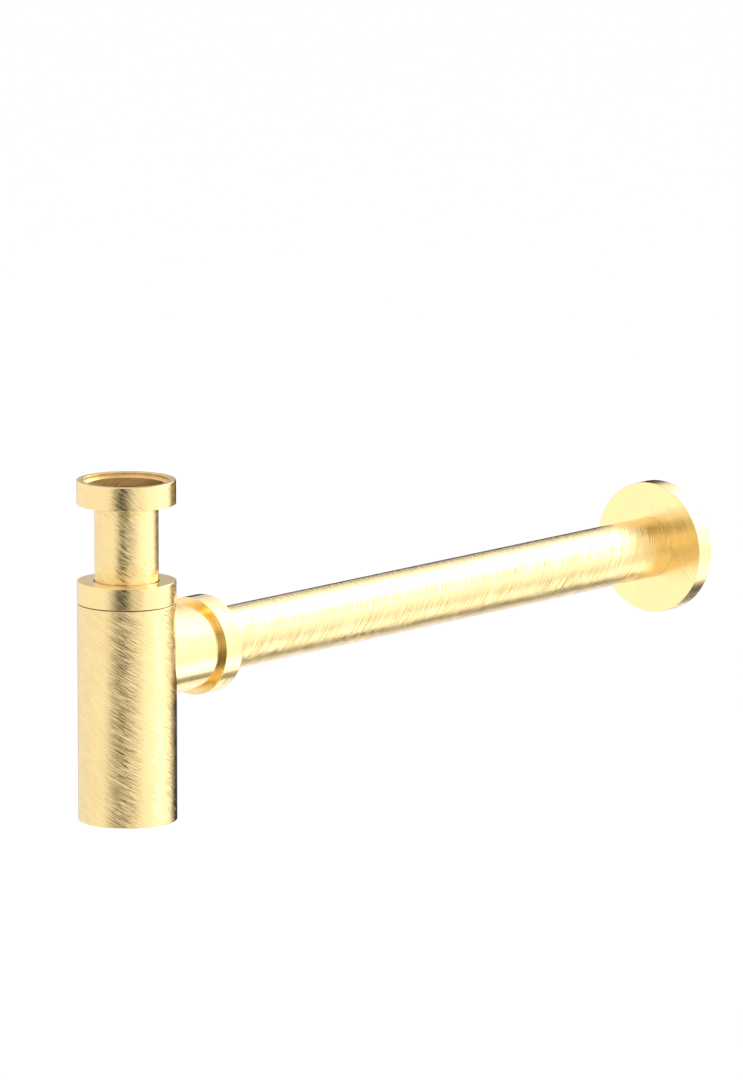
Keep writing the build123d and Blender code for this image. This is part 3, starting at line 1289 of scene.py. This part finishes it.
@dataclass
class Studio:
    """White room with dark cards, a soft lamp, a pale floor and the camera.

    Places are in metres, the side light's way is in X and Y, and clip is the camera's near and far limit.
    """

    azimuth: float = -49.17
    elevation: float = 10.32
    distance: float = 4.424
    lens: float = 296.8
    sensor: float = 36.0
    clip: Span = (0.1, 200.0)
    aim: tuple[float, float, float] = (0.08224, -0.08970, -0.02416)
    paper: Colour = (1.0, 0.974, 0.982, 1.0)
    room_light: float = 1.02
    side_light: float = 0.30
    side_way: Span = (0.77, -0.64)
    floor_height: float = -0.42
    floor_reach: float = 30.0
    floor_glow: float = 0.72
    fibre_cells: float = 30.0
    fibre_detail: float = 3.0
    fibre_dark: Colour = (0.86, 0.84, 0.845, 1.0)
    fibre_pale: Colour = (0.90, 0.88, 0.885, 1.0)
    lamp_size: float = 2.4
    lamp_power: float = 14.0
    lamp_place: tuple[float, float, float] = (-0.4, -1.0, 2.4)
    lamp_aim: tuple[float, float, float] = (0.15, 0.0, -0.1)
    patches: tuple[RoomPatch, ...] = (
        # Soft boxes: high on the pipe, on the hairlines there, and low on the stub and the pipe.
        RoomPatch(Lay.LEVEL, 75.0, 58.0, 12.0, 6.0, (45.0, 12.0), 2.0),
        RoomPatch(Lay.LEVEL, 62.0, 61.0, 55.0, 6.0, (15.0, 6.0), 2.6),
        RoomPatch(Lay.LEVEL, -75.0, 40.5, 35.0, 8.0, (18.0, 4.0), 2.0),
        # Dark line low on the stub, and the dark underside of the pipe and the rosette's rim.
        RoomPatch(Lay.LEVEL, -77.6, 44.0, 7.0, 3.5, (9.0, 2.5), 0.30),
        RoomPatch(Lay.LEVEL, -98.0, 66.5, 12.0, 18.5, (36.0, 1.5), 0.05),
        # Dark hairlines low on the pipe.
        RoomPatch(Lay.LEVEL, -85.0, 67.0, 40.0, 9.0, (12.0, 6.0), 0.30),
        RoomPatch(Lay.LEVEL, -90.0, 34.0, 14.0, 9.0, (14.0, 2.2), 0.20),
        # Dark line along the top of the pipe and the rosette's rim.
        RoomPatch(Lay.LEVEL, 172.0, 67.0, 16.0, 18.0, (20.0, 2.7), 0.10),
        # Dark right edge of the upright walls, and the hairlines beside it.
        RoomPatch(Lay.UPRIGHT, 24.0, -3.0, 19.0, 12.0, (20.0, 6.0), 0.05),
        RoomPatch(Lay.UPRIGHT, -8.0, 8.0, 14.0, 5.0, (6.0, 6.0), 0.10),
    )
    cards: tuple[Card, ...] = (
        # Dark stripe down the upright walls, and the grey on both sides of it low on the bottle.
        Card("dark_card", (-0.232, -0.157, -0.14), -146.0, (0.039, 0.125), (0.17, 0.24), 0.06),
        Card("wide_card", (-0.2405, -0.1622, -0.2025), -146.0, (0.15, 0.33), (0.0675, 0.1075), 0.45),
        # Brown where the pipe and the rosette's face show each other, and the pale rest of that face.
        Card("brown_card", (0.029, -0.058, 0.215), 180.0, (0.10, 0.20), (0.07, 0.18), 0.20),
        Card("pale_card", (0.188, 0.193, -0.138), 139.0, (0.10, 0.13), (0.10, 0.13), 1.27),
    )

    def build_world(self) -> None:
        """Light of the room by direction, and white paper behind the object.

        The level is about 1, plus a broad lobe to the right, times what each patch makes of it. Camera
        rays see the paper at strength 1.
        """
        world = bpy.data.worlds.new("studio_room")
        bpy.context.scene.world = world
        world.use_nodes = True
        sheet = NodeSheet(world.node_tree)
        x, y, z = sheet.split(sheet.add("ShaderNodeTexCoord").outputs["Generated"])
        right = sheet.math("MAXIMUM", x * self.side_way[0] + y * self.side_way[1], 0.0)
        level = self.room_light + self.side_light * right
        for patch in self.patches:
            level = level * patch.shade(sheet, x, y, z)
        seen = Value(sheet, sheet.add("ShaderNodeLightPath").outputs["Is Camera Ray"])
        room = sheet.add("ShaderNodeBackground", None, {"Color": WHITE, "Strength": level})
        paper = sheet.add("ShaderNodeBackground", None, {"Color": self.paper, "Strength": 1.0})
        sheet.end(sheet.mix(seen, room, paper), "ShaderNodeOutputWorld")

    def build_floor(self) -> None:
        """Wide pale sheet under the trap: paper white to the camera, darkened by the trap's soft shadow."""
        side = np.linspace(-self.floor_reach, self.floor_reach, 3)
        across, deep = np.meshgrid(side, side)
        points = np.stack([across, deep, np.full_like(across, self.floor_height)], -1).reshape(-1, 3)
        floor = new_object("studio_floor", points, grid_faces(3, 3, False, False))
        made, sheet = new_sheet("floor_paper")
        x, y, z = sheet.metres()
        fibre = sheet.noise(x * self.fibre_cells, y * self.fibre_cells, z, self.fibre_detail)
        tone = sheet.blend(fibre, self.fibre_dark, self.fibre_pale)
        matt = sheet.add("ShaderNodeBsdfDiffuse", None, {"Color": tone})
        glow = sheet.add("ShaderNodeEmission", None, {"Color": self.paper, "Strength": 1.0})
        rays = sheet.add("ShaderNodeLightPath").outputs
        seen = Value(sheet, rays["Is Camera Ray"]) + Value(sheet, rays["Is Glossy Ray"])
        seen = sheet.math("MINIMUM", seen + Value(sheet, rays["Is Transmission Ray"]), 1.0)
        sheet.end(sheet.mix(seen * self.floor_glow, matt, glow))
        floor.data.materials.append(made)
        floor.visible_glossy = False

    def build_lamp(self) -> None:
        """Large soft lamp above, for the shadow on the floor."""
        light = bpy.data.lights.new("soft_box", "AREA")
        light.shape, light.size, light.energy = "DISK", self.lamp_size, self.lamp_power
        lamp = bpy.data.objects.new("soft_box", light)
        lamp.location = self.lamp_place
        lamp.rotation_euler = (Vector(self.lamp_aim) - lamp.location).to_track_quat("-Z", "Y").to_euler()
        lamp.visible_glossy = False
        bpy.context.scene.collection.objects.link(lamp)

    def build_camera(self) -> None:
        """Camera on a long lens, at the photograph's angle, looking at the aim point."""
        cosine, sine = heading(self.azimuth)
        level, rise = heading(self.elevation)
        right = Vector((cosine, sine, 0))
        back = Vector((sine * level, -cosine * level, rise))
        up = back.cross(right)
        data = bpy.data.cameras.new("long_lens")
        data.lens, data.sensor_width = self.lens, self.sensor
        data.clip_start, data.clip_end = self.clip
        camera = bpy.data.objects.new("long_lens", data)
        spot = Vector(self.aim) + self.distance * back
        camera.matrix_world = Matrix((
            (right.x, up.x, back.x, spot.x),
            (right.y, up.y, back.y, spot.y),
            (right.z, up.z, back.z, spot.z),
            (0, 0, 0, 1),
        ))
        bpy.context.scene.collection.objects.link(camera)
        bpy.context.scene.camera = camera

    def build(self) -> None:
        """Build the room and set the plain view."""
        self.build_camera()
        self.build_world()
        self.build_floor()
        for card in self.cards:
            card.build()
        self.build_lamp()
        bpy.context.scene.view_settings.view_transform = "Standard"


def main() -> None:
    """Build the studio and the trap, from the basin to the wall."""
    logging.basicConfig(level=logging.INFO, format="%(name)s %(message)s")
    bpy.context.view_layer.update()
    Studio().build()
    axis = sum(span("wall_pipe", Z)) / 2
    branch = Spindle(Lay.LEVEL, axis)
    palette = Palette.mixed(axis)
    thread = JointThread()
    inlet = next(mount for mount in frame["record"]["mounts"] if mount["name"] == "inlet_thread")
    low, high = span("inlet_nut", Z)
    InletUnion(
        finishes=palette,
        thread_radius=inlet["dims"]["r_mm"],
        nut_radius=outer_radius("inlet_nut"),
        nut_top=high,
        nut_bottom=low,
        tube_radius=outer_radius("wall_pipe"),
        dip_end=span("inlet_tube", Z)[0],
    ).build()
    low, high = span("top_cap", Z)
    CompressionJoint(
        finishes=palette,
        spindle=UPRIGHT,
        nut_role=Role("top_cap", "cap", "brushed_gold"),
        ring_role=Role("tube_slip_ring", "cap_ring", "slip_nylon"),
        seal_role=Role("tube_cone_seal", "bottle", "seal_rubber"),
        face_at=high,
        radius=outer_radius("top_cap"),
        height=high - low,
        thread=thread,
        nut_finishes=palette.upright(palette.nut),
    ).build()
    bottom, shoulder = span("bottle_shell", Z)
    mouth, face = span("outlet_nut", X)
    Bottle(
        finishes=palette,
        branch=branch,
        thread=thread,
        radius=outer_radius("bottle_shell"),
        shoulder=shoulder,
        bottom=bottom,
        neck_top=span("neck_ring", Z)[1],
        stub_radius=outer_radius("outlet_stub"),
        stub_end=span("outlet_stub", X)[1],
        nut_mouth=mouth,
    ).build()
    CompressionJoint(
        finishes=palette,
        spindle=branch,
        nut_role=Role("outlet_nut", "outlet_nut", "brushed_gold"),
        ring_role=Role("pipe_slip_ring", "outlet_ring", "slip_nylon"),
        seal_role=Role("pipe_cone_seal", "bottle", "seal_rubber"),
        face_at=face,
        radius=outer_radius("outlet_nut"),
        height=face - mouth,
        thread=thread,
        nut_finishes=palette.level(palette.branch),
    ).build()
    WallRun(
        finishes=palette,
        branch=branch,
        pipe_radius=outer_radius("wall_pipe"),
        pipe_ends=span("wall_pipe", X),
        rosette_radius=outer_radius("wall_rosette"),
        rosette_ends=span("wall_rosette", X),
    ).build()


if __name__ == "__main__":
    main()
